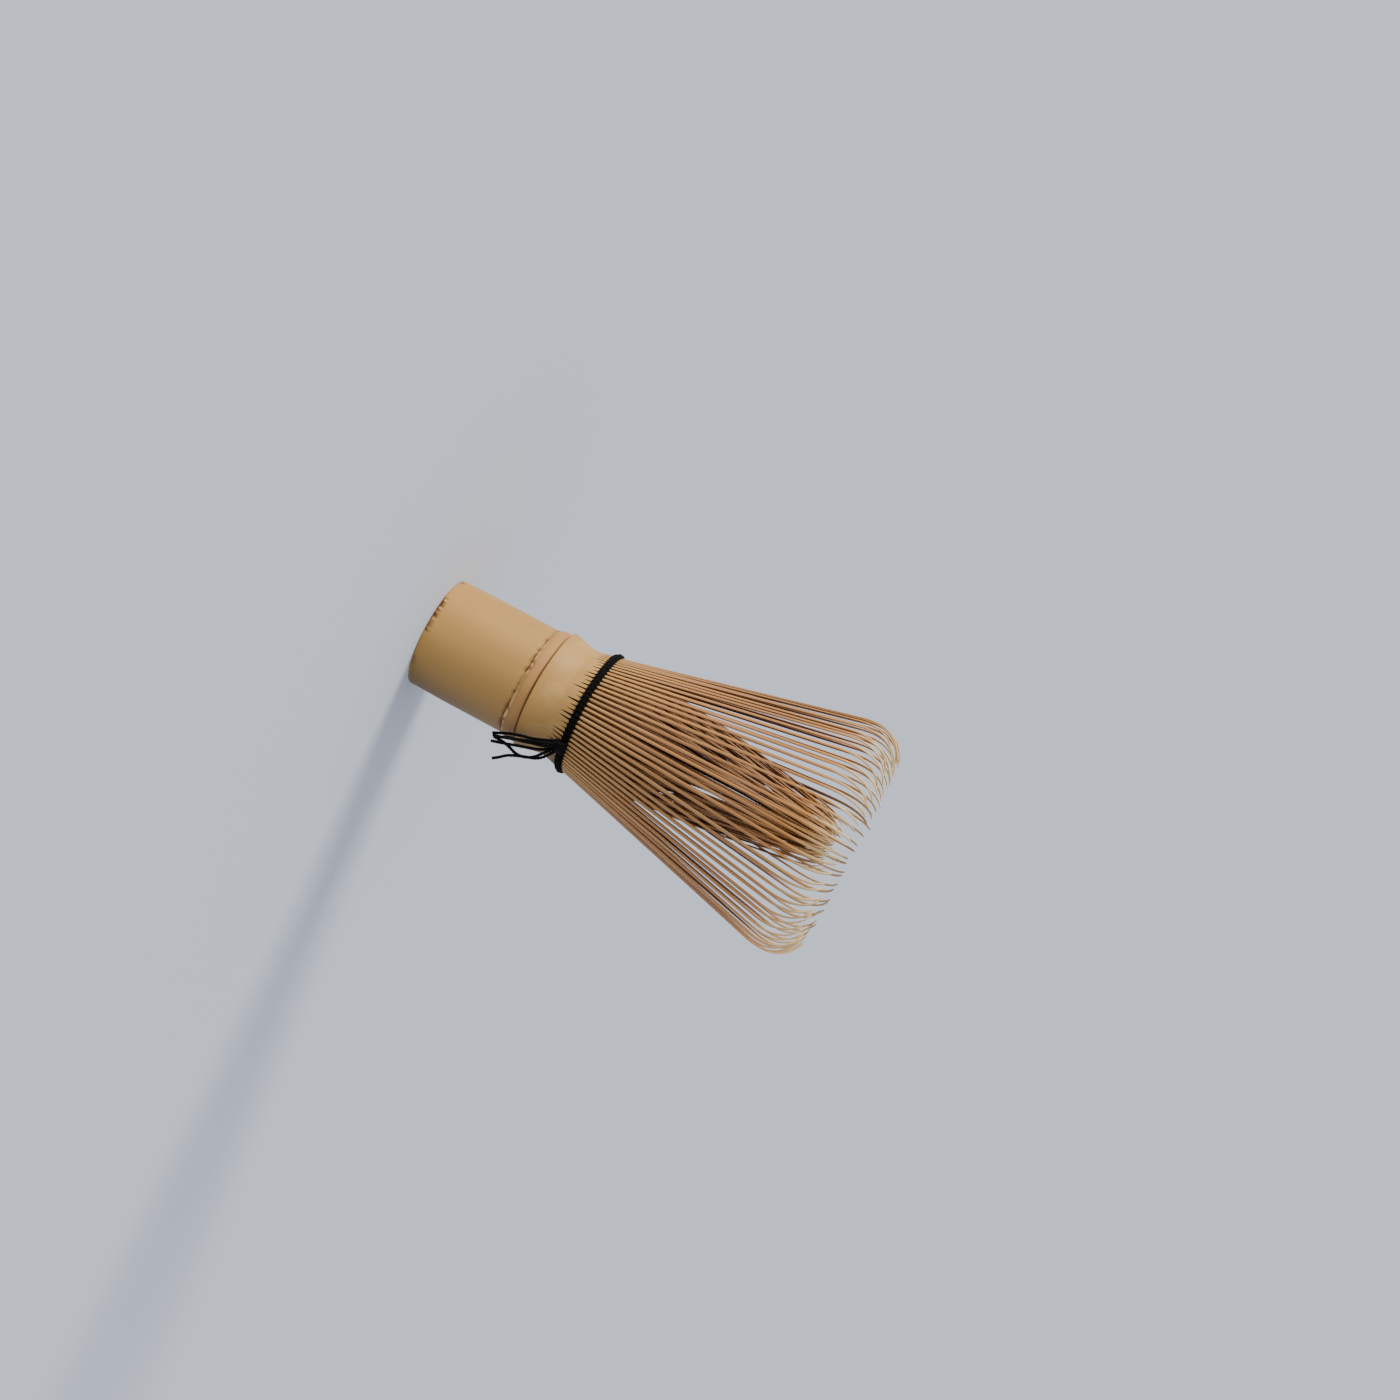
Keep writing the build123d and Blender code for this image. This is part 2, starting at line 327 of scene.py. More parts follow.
def marked_skin(tree, where, skin, streak, scar):
    """Specks, pale torn flakes that are partly painted highlight, ragged scars and the slits' painted
    shade, in that order over the skin.
    """
    speck = noise(tree, where, (1, 1, 0.5), 1100, 1.0, 0.4)
    speck = ramp(tree, speck, [(0.74, grey(0)), (0.80, grey(1))])
    skin = mix(tree, math_node(tree, "MULTIPLY", speck, 0.22), skin, SCAR_BROWN)
    # pale flakes, slivers and rim flecks: partly torn skin, partly painted highlight
    flake_and_highlight = scale_range(tree, streak, 0.2, 1.3)
    flake_and_highlight = math_node(tree, "MULTIPLY", attribute(tree, "flake_and_highlight"), flake_and_highlight)
    skin = mix(tree, clamp(tree, flake_and_highlight), skin, FLAKE_AND_HIGHLIGHT)
    ragged = scale_range(tree, noise(tree, where, (1, 1, 1), 1500, 3.0), 0.35, 1.6)
    ragged = math_node(tree, "MULTIPLY", scar, ragged)
    skin = mix(tree, clamp(tree, ragged), skin, SCAR_BROWN)
    # the V of each slit is painted near black, as painted shade in the narrow gap
    return mix(tree, attribute(tree, "slit"), skin, SLIT_SHADE)


def cut_bamboo(tree, where, skin, streak):
    """The skin gives way to dotted flesh on a cut face and to plain pale wall in the bore."""
    cell = add(tree, "ShaderNodeMapping", {"Vector": where, "Scale": (1, 1, 0.02)}).outputs[0]
    dots = add(tree, "ShaderNodeTexVoronoi", {"Vector": cell, "Scale": 1500}).outputs["Distance"]
    end_grain = ramp(tree, dots, [(0.18, FIBRE_END), (0.34, FLESH)])
    colour = mix(tree, attribute(tree, "cut"), skin, end_grain)
    wall = mix(tree, scale_range(tree, streak, 0.0, 0.6), INNER_WALL, NECK_PARED)
    return mix(tree, attribute(tree, "bore"), colour, wall)


# %% Culm material
def make_culm_material():
    """The layers in turn, rougher in the scars, with the fibres raised by a hair."""
    material, tree = start_material("bamboo_skin")
    where = add(tree, "ShaderNodeTexCoord").outputs["Object"]
    streak = noise(tree, where, (1, 1, 0.04), 700, 3.0, 0.55)
    scar = attribute(tree, "scar")
    skin, blotch, fibre = plain_skin(tree, where, streak)
    skin = marked_skin(tree, where, skin, streak, scar)
    colour = cut_bamboo(tree, where, skin, streak)
    rough = scale_range(tree, blotch, 0.50, 0.62)
    rough = math_node(tree, "ADD", rough, scale_range(tree, scar, 0.0, 0.25))
    height = math_node(tree, "ADD", math_node(tree, "MULTIPLY", fibre, 0.5), streak)
    finish_material(tree, colour, rough, height, strength=0.18, depth=0.05 * MM, gloss=0.25)
    return material


culm_material = make_culm_material()
print("culm material has", len(culm_material.node_tree.nodes), "nodes")

# %% [markdown]
# ## The culm
# The handle is one internode and a little of the next: grip, groove, raised node ring, the thin
# scar where the sheath grew, and the neck that is pared and split. A lathe or a Screw modifier
# could turn its outline, but then it would be the same all round. Here the radius is a function of
# height and angle, so the groove and the scar can wander, because nothing on bamboo is square.

# %% Sizes of the culm
GRIP_RADIUS = 13.45 * MM
END_TAPER = 0.16 * MM
BORE_RADIUS = 9.5 * MM
CAVITY_RADIUS = 9.9 * MM
BORE_DEPTH = 22.4 * MM
SEPTUM_TOP = BORE_DEPTH + 3.2 * MM
SEPTUM_DOME = 0.8 * MM
GROOVE_Z = 24.85 * MM
SCAR_Z = 28.75 * MM
RING_RISE = 0.5 * MM
WAIST_Z = 35.5 * MM
WAIST_RADIUS = 13.4 * MM
COLLAR_SLOPE = 0.22
COLLAR_EDGE = 41.3 * MM
COLLAR_WALL = 2.3 * MM
BAND_Z = COLLAR_TOP - 1.6 * MM


def collar_radius(z):
    """Outside of the neck above the waist: it opens evenly towards the tines."""
    return WAIST_RADIUS + COLLAR_SLOPE * (z - WAIST_Z)


print("neck radius at the band", round(float(collar_radius(BAND_Z)) / MM, 2), "mm")


# %% Lines that wander round the culm
def groove_line(angle):
    """Height of the groove below the ring: a little tilted, and ragged."""
    tilt = -0.45 * MM * np.cos(angle) - 0.25 * MM * np.sin(angle)
    return GROOVE_Z + tilt + 0.12 * MM * ripple(angle, 3, [3, 5, 9, 15, 27, 44], 0.6)


def scar_line(angle):
    """Height of the sheath's scar above the ring, which wanders less."""
    tilt = -0.16 * MM * np.cos(angle + 0.6)
    return SCAR_Z + tilt + 0.05 * MM * ripple(angle, 4, [2, 3, 5, 8])


def raggedness(angle):
    """How torn the groove is round the culm: 0 where it is clean, 1 and more where it is deep."""
    return 0.5 + 0.6 * ripple(angle, 6, [7, 11, 19, 31, 47], 0.3)


print("the groove is at", round(float(groove_line(np.zeros(1))[0]) / MM, 2), "mm on one side")


# %% Outside radius of the culm
def grip_radius(z, angle):
    """A cylinder, drawn in a little to its sawn end; then the groove and the raised ring."""
    line, torn = groove_line(angle), raggedness(angle)
    radius = GRIP_RADIUS - END_TAPER * (1 - smooth_step(z, 0, 9 * MM))
    radius = radius + 0.045 * MM * ripple(angle, 5, [2, 3, 4])
    radius = radius + RING_RISE * smooth_step(z, line + 0.1 * MM, line + 1.3 * MM)
    radius = radius + 0.12 * MM * bell(z, line + 2.2 * MM, 1.1 * MM)
    radius = radius - 0.26 * MM * np.clip(torn, 0.1, 1.3) * bell(z, line, 0.30 * MM)
    return radius - 0.09 * MM * np.clip(torn, 0, 1) * bell(z, line - 0.75 * MM, 0.22 * MM)


def neck_radius(z, angle):
    """The shoulder falls in a curve from the ring to the waist, then the neck opens evenly."""
    line = scar_line(angle)
    t = np.clip((z - line) / (WAIST_Z - line), 0, 1)
    fall = t**1.35 * (2.35 - 1.35 * t)
    shoulder = SHOULDER_RADIUS - 0.02 * MM - (SHOULDER_RADIUS - WAIST_RADIUS) * fall
    radius = np.where(z < WAIST_Z, shoulder, collar_radius(z))
    knife_marks = 0.05 * MM * ripple(angle + z * 90, 8, [3, 5, 7, 11])
    return radius + knife_marks * smooth_step(z, line, line + 2 * MM)


def culm_radius(z, angle):
    """The grip and ring below the scar's line, the neck above it, and the scar's fine cut."""
    line = scar_line(angle)
    over = smooth_step(z, line - 0.05 * MM, line + 0.22 * MM)
    radius = grip_radius(z, angle) * (1 - over) + neck_radius(z, angle) * over
    return radius - 0.25 * MM * bell(z, line, 0.24 * MM)


print("ring radius", round(float(culm_radius(27 * MM, np.zeros(1))[0]) / MM, 2), "mm")

# %% [markdown]
# ### Splitting the collar
# The collar is split from above. A slit starts as nothing at its own height, because the blade
# stops where the fibres let it, and widens towards the tines. Cutting the slits with a Boolean
# would leave a ragged mesh, so the grid's own columns move apart: each tine has eight columns,
# three for the V of the slit and five over the tine's face.

# %% Columns that follow the slits
SLIT_DEPTH = 1.3 * MM
SLIT_HALF_WIDTH = 0.19 * MM
CLOSED_SLIT = 0.012 * MM
FACE_COLUMNS = 5
COLUMNS_PER_TINE = 3 + FACE_COLUMNS
SLIT_LEFT, SLIT_BOTTOM, SLIT_RIGHT = 0, 1, 2


def split_columns(z):
    """The angle of every column at every height, and the height where each slit starts."""
    rng = np.random.default_rng(21)
    slit_start = WAIST_Z + (0.2 + 2.1 * rng.beta(1.2, 1.1, TINE_COUNT)) * MM
    slit_wide = SLIT_HALF_WIDTH * rng.uniform(0.75, 1.2, TINE_COUNT)
    lean = rng.normal(0, 0.05, TINE_COUNT) * MM
    opened = np.clip((z - slit_start) / (3.2 * MM), 0, 1) ** 0.75
    half_turn = np.maximum(slit_wide * opened, CLOSED_SLIT) / WAIST_RADIUS
    start = np.arange(TINE_COUNT) * PITCH + lean / WAIST_RADIUS * (1 - opened)
    following = np.roll(start, -1, axis=1)
    following[:, -1] += 2 * np.pi
    left, right = start + half_turn, following - np.roll(half_turn, -1, axis=1)
    share = (np.arange(FACE_COLUMNS) + 0.5) / FACE_COLUMNS
    face = left[..., None] + (right - left)[..., None] * share
    vee = np.stack([start - half_turn, start, left], axis=-1)
    return np.concatenate([vee, face], axis=-1).reshape(len(z), -1), slit_start


OUTSIDE_Z = np.concatenate([
    np.linspace(0.55, 22.75, 20),
    np.linspace(23.0, 26.6, 26),
    np.linspace(26.8, 28.1, 5),
    np.linspace(28.25, 29.5, 16),
    np.linspace(29.8, 34.4, 10),
    np.linspace(34.6, COLLAR_EDGE / MM, 26),
])[:, None] * MM
print("rows up the outside", len(OUTSIDE_Z), "columns round it", TINE_COUNT * COLUMNS_PER_TINE)

# %% [markdown]
# ### Marks on the skin
# The saw scorched and chipped one part of the rim. The groove is a dashed brown line, and pale
# flakes of skin stand torn in it at two places; their paleness, like that of the slivers along the
# groove and the rim's flecks, is partly torn skin and partly painted highlight. The scar is a thin
# even line. They could be painted on by hand, but masks worked out from height and angle stay sharp
# at any distance and follow the wandering lines exactly.


# %% Marks of the rim
def rim_marks(angle):
    """Scorched chips of the sawn edge: one run of them, one spot beside it, a few faint ones."""
    chips = np.clip(0.5 + 0.8 * ripple(angle, 12, [9, 16, 25, 38, 55], 0.3), 0, 1)
    run = 1 - smooth_step(turned(angle, -106), math.radians(17), math.radians(22))
    spot = 1 - smooth_step(turned(angle, -161), math.radians(2.5), math.radians(4.5))
    faint = 0.5 * np.clip(ripple(angle, 15, [3, 4, 7, 13, 22], 0.3) - 0.9, 0, 1)
    return np.clip(run * (0.6 + 0.9 * chips) + spot + faint, 0, 1.2)


def lifted_flecks_and_highlights(angle):
    """Pale flecks where a scorched chip has lifted, partly painted highlight."""
    flecks = np.clip(1.4 * ripple(angle, 17, [31, 47, 62], 0.2), 0, 1)
    return flecks * np.clip(rim_marks(angle) - 0.3, 0, 0.7)


all_round = np.linspace(0, 2 * np.pi, 720)
print("scorched share of the rim", round(float((rim_marks(all_round) > 0.3).mean()), 2))


# %% Marks of the groove and the scar
def torn_patch(z, angle):
    """Two ragged flakes of skin that stand in the groove, as a bell round and a bell along."""
    patch = bell(turned(angle, -50), 0, 0.15) + 0.8 * bell(turned(angle, -105), 0, 0.09)
    edge = 0.85 + 0.3 * ripple(angle + z * 300, 18, [9, 17, 29])
    return patch * bell(z, groove_line(angle) + 0.45 * MM, 0.55 * MM) * edge


def scar_mask(z, angle):
    """Brown: the dashed groove, a fine second line below it, the scar, the rim, flakes' edges."""
    line, patch = groove_line(angle), torn_patch(z, angle)
    dashes = np.clip(0.5 + 0.9 * ripple(angle, 13, [5, 9, 17, 29, 43], 0.25), 0, 1)
    scar = 1.05 * bell(z, line, 0.26 * MM) * np.maximum(dashes, 0.45)
    scar = scar + 0.6 * bell(z, line - 0.55 * MM, 0.14 * MM) * np.clip(2 * dashes - 1.2, 0, 1)
    scar = scar + 0.85 * bell(z, scar_line(angle), 0.26 * MM)
    scorched = rim_marks(angle) * (1 - smooth_step(z, 0.6 * MM, 1.5 * MM))
    scar = np.maximum(scar, scorched * (1 - 1.3 * lifted_flecks_and_highlights(angle)))
    return scar * (1 - np.clip(patch, 0, 0.9)) + 0.55 * bell(patch, 0.30, 0.10)


def flake_and_highlight_mask(z, angle):
    """Pale, partly torn skin and partly painted highlight: slivers along the groove where it is torn, the
    two flakes, the rim's flecks.
    """
    torn = np.clip(raggedness(angle) * 1.8 - 0.6, 0, 1)
    slivers = bell(z, groove_line(angle) + 0.50 * MM, 0.24 * MM) * torn
    flakes = 0.9 * smooth_step(torn_patch(z, angle), 0.32, 0.6)
    return slivers + flakes + 1.6 * lifted_flecks_and_highlights(angle) * bell(z, 0.9 * MM, 0.45 * MM)


print("brown along the scar", round(float(scar_mask(scar_line(all_round), all_round).mean()), 2))


# %% All masks of the outside
def slit_shade_mask(z, angle, slit_start):
    """Painted shade, dark in the V of each slit, from just above where it starts."""
    slit = 0 * angle
    slit[:, SLIT_BOTTOM::COLUMNS_PER_TINE] = smooth_step(z, slit_start, slit_start + 0.5 * MM)
    for edge in (SLIT_LEFT, SLIT_RIGHT):
        side = smooth_step(z, slit_start + 0.2 * MM, slit_start + 1.2 * MM)
        slit[:, edge::COLUMNS_PER_TINE] = 0.85 * side
    return slit


def outside_masks(z, angle, slit_start):
    """Every mask of the outside by its name."""
    ring_start, ring_end = groove_line(angle) + 0.2 * MM, scar_line(angle)
    ring = smooth_step(z, ring_start, ring_start + 0.6 * MM)
    # the side that gets painted shade: +X, away from the key light, with a wandering edge
    shaded_side = np.cos(angle - 0.1) + 0.1 * ripple(angle + z * 40, 16, [2, 3, 5])
    return {
        "scar": scar_mask(z, angle),
        "flake_and_highlight": flake_and_highlight_mask(z, angle),
        "slit": slit_shade_mask(z, angle, slit_start),
        "ring": ring * (1 - smooth_step(z, ring_end - 0.3 * MM, ring_end)),
        "pared": smooth_step(z, SCAR_Z + 0.4 * MM, SCAR_Z + 4 * MM) + 0 * angle,
        "painted_shade": 0.85 * smooth_step(shaded_side, 0.30, 1.05),
    }


# %% [markdown]
# ### The whole culm
# The surface is one closed skin. It starts at the middle of the septum, the wall that closes the
# culm inside at its node, comes down the bore, goes over the sawn rim, up the outside, over the
# collar and back down to the septum. One grid for all of it leaves no gap between the parts.

# %% Outlines of the inside
DOME = np.linspace(0.06, 1, 6)
CORNER = 0.42 * MM
CHIP_DEPTH = 0.12 * MM


def dome_outline(radius, height):
    """A shallow dome from near its middle to its edge: it falls with the square of the way out."""
    return [(radius * d, height + SEPTUM_DOME * (1 - d**2)) for d in DOME]


def end_outline():
    """Radius and height down the bore and over the rim, with a rounded outer corner."""
    inside = dome_outline(BORE_RADIUS, BORE_DEPTH)
    inside += [(BORE_RADIUS, h) for h in np.linspace(BORE_DEPTH - 1 * MM, 0.3 * MM, 6)]
    rim = [(BORE_RADIUS + 0.1 * MM, 0.06 * MM), (BORE_RADIUS + 0.35 * MM, 0)]
    rim += [(r, 0) for r in np.linspace(BORE_RADIUS + 1 * MM, GRIP_RADIUS - 0.9 * MM, 3)]
    middle, turns = GRIP_RADIUS - END_TAPER - CORNER, np.radians([0, 22, 45, 68])
    rim += [(middle + CORNER * np.sin(a), CORNER - CORNER * np.cos(a)) for a in turns]
    return np.array(inside + rim), len(inside)


def collar_outline():
    """Radius and height over the collar's edge and down the cavity to the septum."""
    inside_top = collar_radius(COLLAR_EDGE) - COLLAR_WALL
    lip = [(inside_top + 0.3 * MM, COLLAR_EDGE), (inside_top, COLLAR_EDGE - 0.3 * MM)]
    lip += [(inside_top, 38.8 * MM), (CAVITY_RADIUS, 35.4 * MM), (CAVITY_RADIUS, 31 * MM)]
    lip += [(CAVITY_RADIUS, SEPTUM_TOP + 0.5 * MM)]
    return np.array(lip + dome_outline(CAVITY_RADIUS, SEPTUM_TOP)[::-1])


print("rows inside", len(end_outline()[0]) + len(collar_outline()))


# %% Build the culm
def build_culm():
    """The whole closed surface: bore, rim, outside, collar, cavity, with a pole at each end."""
    angle, slit_start = split_columns(OUTSIDE_Z)
    radius = culm_radius(OUTSIDE_Z, angle)
    vee = smooth_step(OUTSIDE_Z, slit_start, slit_start + 1.2 * MM)
    radius[:, SLIT_BOTTOM::COLUMNS_PER_TINE] -= SLIT_DEPTH * vee
    (end, bore_rows), collar = end_outline(), collar_outline()
    end_radius = end[:, :1] + 0 * angle[0]
    marks = rim_marks(angle[0])
    end_radius[-3:] -= CHIP_DEPTH * marks

    def whole(at_end, outside, at_collar):
        """The three parts as one grid, each spread over its own rows and all columns."""
        rows = ((at_end, len(end)), (outside, len(angle)), (at_collar, len(collar)))
        return np.concatenate([np.broadcast_to(part, (n, angle.shape[1])) for part, n in rows])

    masks = outside_masks(OUTSIDE_Z, angle, slit_start)
    masks = {key: whole(0.0, mask, 0.0) for key, mask in masks.items()}
    masks["cut"], masks["bore"] = whole(1.0, 0.0, 1.0), whole(1.0, 0.0, 1.0)
    masks["cut"][len(end) - 2:len(end)] = 0
    masks["bore"][bore_rows:len(end) + len(angle) + 2] = 0
    masks["scar"][len(end) - 4:len(end)] = 0.9 * marks
    turn = whole(angle[0], angle, angle[-1])
    away = whole(end_radius, radius, collar[:, :1])
    height = whole(end[:, 1:], OUTSIDE_Z, collar[:, 1:])
    points = np.stack([away * np.cos(turn), away * np.sin(turn), height], -1)
    rows, columns = turn.shape
    caps = [np.arange(columns)[::-1], (rows - 1) * columns + np.arange(columns)]
    return add_mesh("culm", points.reshape(-1, 3), ring_faces(rows, columns), caps, masks, sharp=50)


culm = build_culm()
culm.data.materials.append(culm_material)
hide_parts("handle")
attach(culm, WHISK_BODY)
print("culm faces", len(culm.data.polygons))

# %% [markdown]
# ## The tines
# A tine is a strip of culm wall: skin outside, darker flesh inside, wider at its root than at its
# tip. Its inner side is painted very dark, partly the flesh's own colour and partly painted shade in
# the gaps between tines. Split bamboo is browner than the skin of the handle, pale where it is
# shaved thin, and no two tines have quite the same tone; the inner tines are painted darker low in
# the bundle, as painted shade. The fibres follow a curled tine, so their pattern reads the
# piece's own UV map, which runs along the tine, and not Object coordinates, which don't bend.

# %% Colours of the tines
TINE_ROOT = linear(192, 144, 86)
TINE_MID = linear(168, 116, 70)
# deep brown: fibres, darker tines at random, and painted shade on the inner tines
TINE_DEEP = linear(98, 54, 22)
TINE_GOLD = linear(200, 134, 62)
TINE_TIP = linear(234, 206, 148)
TINE_PALE = linear(216, 172, 108)
# the tines' inner side: partly the flesh's own colour, partly painted shade between the tines
TINE_FLESH_AND_SHADE = linear(74, 34, 10)


def make_tine_material():
    """Tan at the root, browner up the flare, pale at the shaved tip; each tine has its own tone.

    The tone is one number: near 0 it is dark, about a half pale, and near 1 golden. On the outer tines it
    is a random tone; on the inner tines it stays near 0 by the root and rises higher up, so their
    darkness there is painted shade.
    """
    material, tree = start_material("bamboo_tine")
    grain = add(tree, "ShaderNodeUVMap", uv_map="grain").outputs["UV"]
    along, tone_and_shade, flesh_and_shade = (attribute(tree, name) for name in ("along", "tone_and_shade", "flesh_and_shade"))
    fibre = noise(tree, grain, (1, 0.02, 1), 6000, 3.0, 0.55)
    patch = noise(tree, grain, (0.3, 1, 1), 110, 2.0, 0.5)
    colour = ramp(tree, along, [(0.08, TINE_ROOT), (0.30, TINE_MID), (0.62, TINE_MID),
                                (0.80, TINE_GOLD), (0.93, TINE_TIP)])
    # dark tone: at random on the outer tines, painted shade on the inner tines low in the bundle
    dark = ramp(tree, tone_and_shade, [(0.0, grey(0.97)), (0.12, grey(0.75)), (0.4, grey(0))])
    colour = mix(tree, dark, colour, TINE_DEEP)
    gold = ramp(tree, tone_and_shade, [(0.65, grey(0)), (1.0, grey(0.6))])
    colour = mix(tree, gold, colour, TINE_GOLD)
    pale = ramp(tree, tone_and_shade, [(0.42, grey(0)), (0.50, grey(0.55)), (0.62, grey(0))])
    colour = mix(tree, pale, colour, TINE_PALE)
    colour = mix(tree, scale_range(tree, fibre, 0.0, 0.25), colour, TINE_DEEP)
    colour = mix(tree, scale_range(tree, patch, 0.0, 0.30), colour, TINE_ROOT)
    # inner side of each tine darkened, partly flesh colour and partly painted shade in the gaps
    colour = mix(tree, math_node(tree, "MULTIPLY", flesh_and_shade, 0.9), colour, TINE_FLESH_AND_SHADE)
    rough = scale_range(tree, patch, 0.36, 0.52)
    finish_material(tree, colour, rough, fibre, strength=0.2, depth=0.04 * MM, gloss=0.3)
    return material


tine_material = make_tine_material()
print("tine material has", len(tine_material.node_tree.nodes), "nodes")

# %% [markdown]
# ### A curve from its lean
# The maker draws each tine over a hot iron, so it flares straight, then curls in. A Bezier curve
# could be bent by hand for every tine. Here the lean at each point of the length says how fast
# the tine goes out and up, and adding those small steps up gives the curve, at its true length.


# %% Lean to curve
def running_sum(steps):
    """Each row's steps added up, starting from 0."""
    return np.concatenate([0 * steps[:, :1], np.cumsum(steps, axis=1)], axis=1)


def lean_curve(start_radius, start_z, lean, length):
    """Radius and height along tines: each step goes out by sin(lean) and up by cos(lean)."""
    middle = (lean[:, 1:] + lean[:, :-1]) / 2
    step = np.diff(length, axis=1)
    out = start_radius + running_sum(np.sin(middle) * step)
    return out, start_z + running_sum(np.cos(middle) * step)


def by_hand(rng, count, spread):
    """How far each tine strays from the plan, because each is cut and curled by hand."""
    return rng.normal(0, spread, count)[:, None]


one_step = np.array([[0.0, 1.0]])
print("a step with no lean goes up by", float(lean_curve(0, 0, 0 * one_step, one_step)[1][0, -1]))

# %% [markdown]
# ### A section carried along
# A tine is split from a round wall and its edges are shaved, so its section is a low loaf with
# nine sides: flat skin outside, a narrower back inside. Carrying one section along every curve at
# once gives all tines of a stave as one piece with few faces.

# %% Section of a tine
SECTION = np.array([
    (-0.40, 0.02), (0.0, -0.05), (0.40, 0.02), (0.50, 0.20),
    (0.46, 0.86), (0.34, 1.0), (-0.34, 1.0), (-0.46, 0.86), (-0.50, 0.20)])
GIRTH = 2.4 * MM
NEXT_GRAIN = 7.3 * MM


def tine_faces(tines, stations, sides):
    """Quads and end caps of several tines whose points follow one another."""
    first = np.arange(tines) * stations * sides
    quads = ring_faces(stations, sides)[:, ::-1] + first[:, None, None]
    low_cap = np.arange(sides)
    high_cap = (stations - 1) * sides + low_cap[::-1]
    return quads.reshape(-1, 4), [cap + start for start in first for cap in (low_cap, high_cap)]


def sweep_tines(name, out, up, lean, angle, width, thickness, along, tone_and_shade, first_index):
    """Carries the section along every tine's curve and makes one piece of them.

    A section point goes across the tine by its share of the width, along the tangent of the
    circle round the whisk, and inward from the skin by its share of the thickness, square to the
    curve. The grain's UV is the way round the section and the way along, moved on for each tine.
    """
    tines, stations = out.shape
    across = SECTION[:, 0] * width[..., None]
    deep = SECTION[:, 1] * thickness[..., None]
    r = out[..., None] - deep * np.cos(lean)[..., None]
    z = up[..., None] + deep * np.sin(lean)[..., None]
    c, s = np.cos(angle)[..., None], np.sin(angle)[..., None]
    points = np.stack([r * c - across * s, r * s + across * c, z], -1)
    length = running_sum(np.hypot(np.diff(out, axis=1), np.diff(up, axis=1)))
    girth = np.linspace(0, GIRTH, len(SECTION))
    index = (first_index + np.arange(tines))[:, None, None] * NEXT_GRAIN
    uv = np.stack([girth + index + 0 * r, length[..., None] + 2.1 * index + 0 * r], -1)
    # the inner side gets the dark flesh colour, partly painted shade, fading out towards the tip
    inner_side = np.clip(SECTION[:, 1] * 2.2 - 0.25, 0, 1)
    flesh_and_shade = inner_side * (1 - smooth_step(along, 0.7, 0.95))[..., None]
    masks = {"along": along[..., None] + 0 * r, "tone_and_shade": tone_and_shade[..., None] + 0 * r, "flesh_and_shade": flesh_and_shade}
    quads, caps = tine_faces(tines, stations, len(SECTION))
    piece = add_mesh(name, points.reshape(-1, 3), quads, caps, masks, uv, sharp=55)
    piece.data.materials.append(tine_material)
    return piece


# %% [markdown]
# ### Outer tines
# They start inside the collar, under the thread, so no joint shows. Those of one stave bend
# together on the real whisk, because they grow from one strip, so here they are made as one piece.

# %% Plan of an outer tine
ROOT_Z = COLLAR_TOP + 0.12 * MM
ROOT_RADIUS = collar_radius(ROOT_Z)
TINE_START = 39.9 * MM
OPEN_CURL = 14.0 * MM
TIGHT_CURL = 7.7 * MM
CURL_END = math.radians(-77)
OUTER_STATIONS = 56
BEND_START = 41.5 * MM


def flare_plan():
    """The lean that brings the curl to the bloom's radius with its tip at the whisk's top."""
    lean = 0.25
    for _ in range(30):
        high = WHISK_TOP - ROOT_Z - OPEN_CURL * math.sin(lean) - TIGHT_CURL * math.sin(-CURL_END)
        out = BLOOM_RADIUS - ROOT_RADIUS - OPEN_CURL * (1 - math.cos(lean))
        lean = math.atan(out / high)
    return lean, high / math.cos(lean)


FLARE_LEAN, FLARE_LENGTH = flare_plan()
print("flare leans", round(math.degrees(FLARE_LEAN), 2), "degrees for", round(FLARE_LENGTH / MM, 1), "mm")


# %% Curves of the outer tines
def outer_lean(length, flare_end, open_curl, tight_curl):
    """Lean along the length: the collar's slope, the flare, then an open and a tight curl."""
    root = smooth_step(length, 0.5 * MM, 4 * MM)
    lean = math.atan(COLLAR_SLOPE) * (1 - root) + FLARE_LEAN * root
    past = np.clip(length - flare_end, 0, None)
    open_length = open_curl * FLARE_LEAN
    lean = lean - np.minimum(past, open_length) / open_curl
    return lean - np.clip(past - open_length, 0, None) / tight_curl


def outer_curves(rng):
    """Length, whole length, lean, way out and way up, one row for each outer tine."""
    to_root = ROOT_Z - TINE_START
    whole = FLARE_LENGTH + OPEN_CURL * FLARE_LEAN + TIGHT_CURL * -CURL_END + to_root
    whole = whole + by_hand(rng, TINE_COUNT, 0.25 * MM)
    length = whole * np.linspace(0, 1, OUTER_STATIONS) ** 0.85
    flare_end = FLARE_LENGTH + to_root + by_hand(rng, TINE_COUNT, 0.4 * MM)
    open_curl = OPEN_CURL * (1 + by_hand(rng, TINE_COUNT, 0.05))
    tight_curl = TIGHT_CURL * (1 + by_hand(rng, TINE_COUNT, 0.025))
    lean = outer_lean(length, flare_end, open_curl, tight_curl)
    astray = np.clip(by_hand(rng, TINE_COUNT, 0.004), -0.008, 0.004)
    lean = lean + astray * smooth_step(length, 2 * MM, 12 * MM)
    out, up = lean_curve(collar_radius(TINE_START) - 0.03 * MM, TINE_START, lean, length)
    return length, whole, lean, out, up


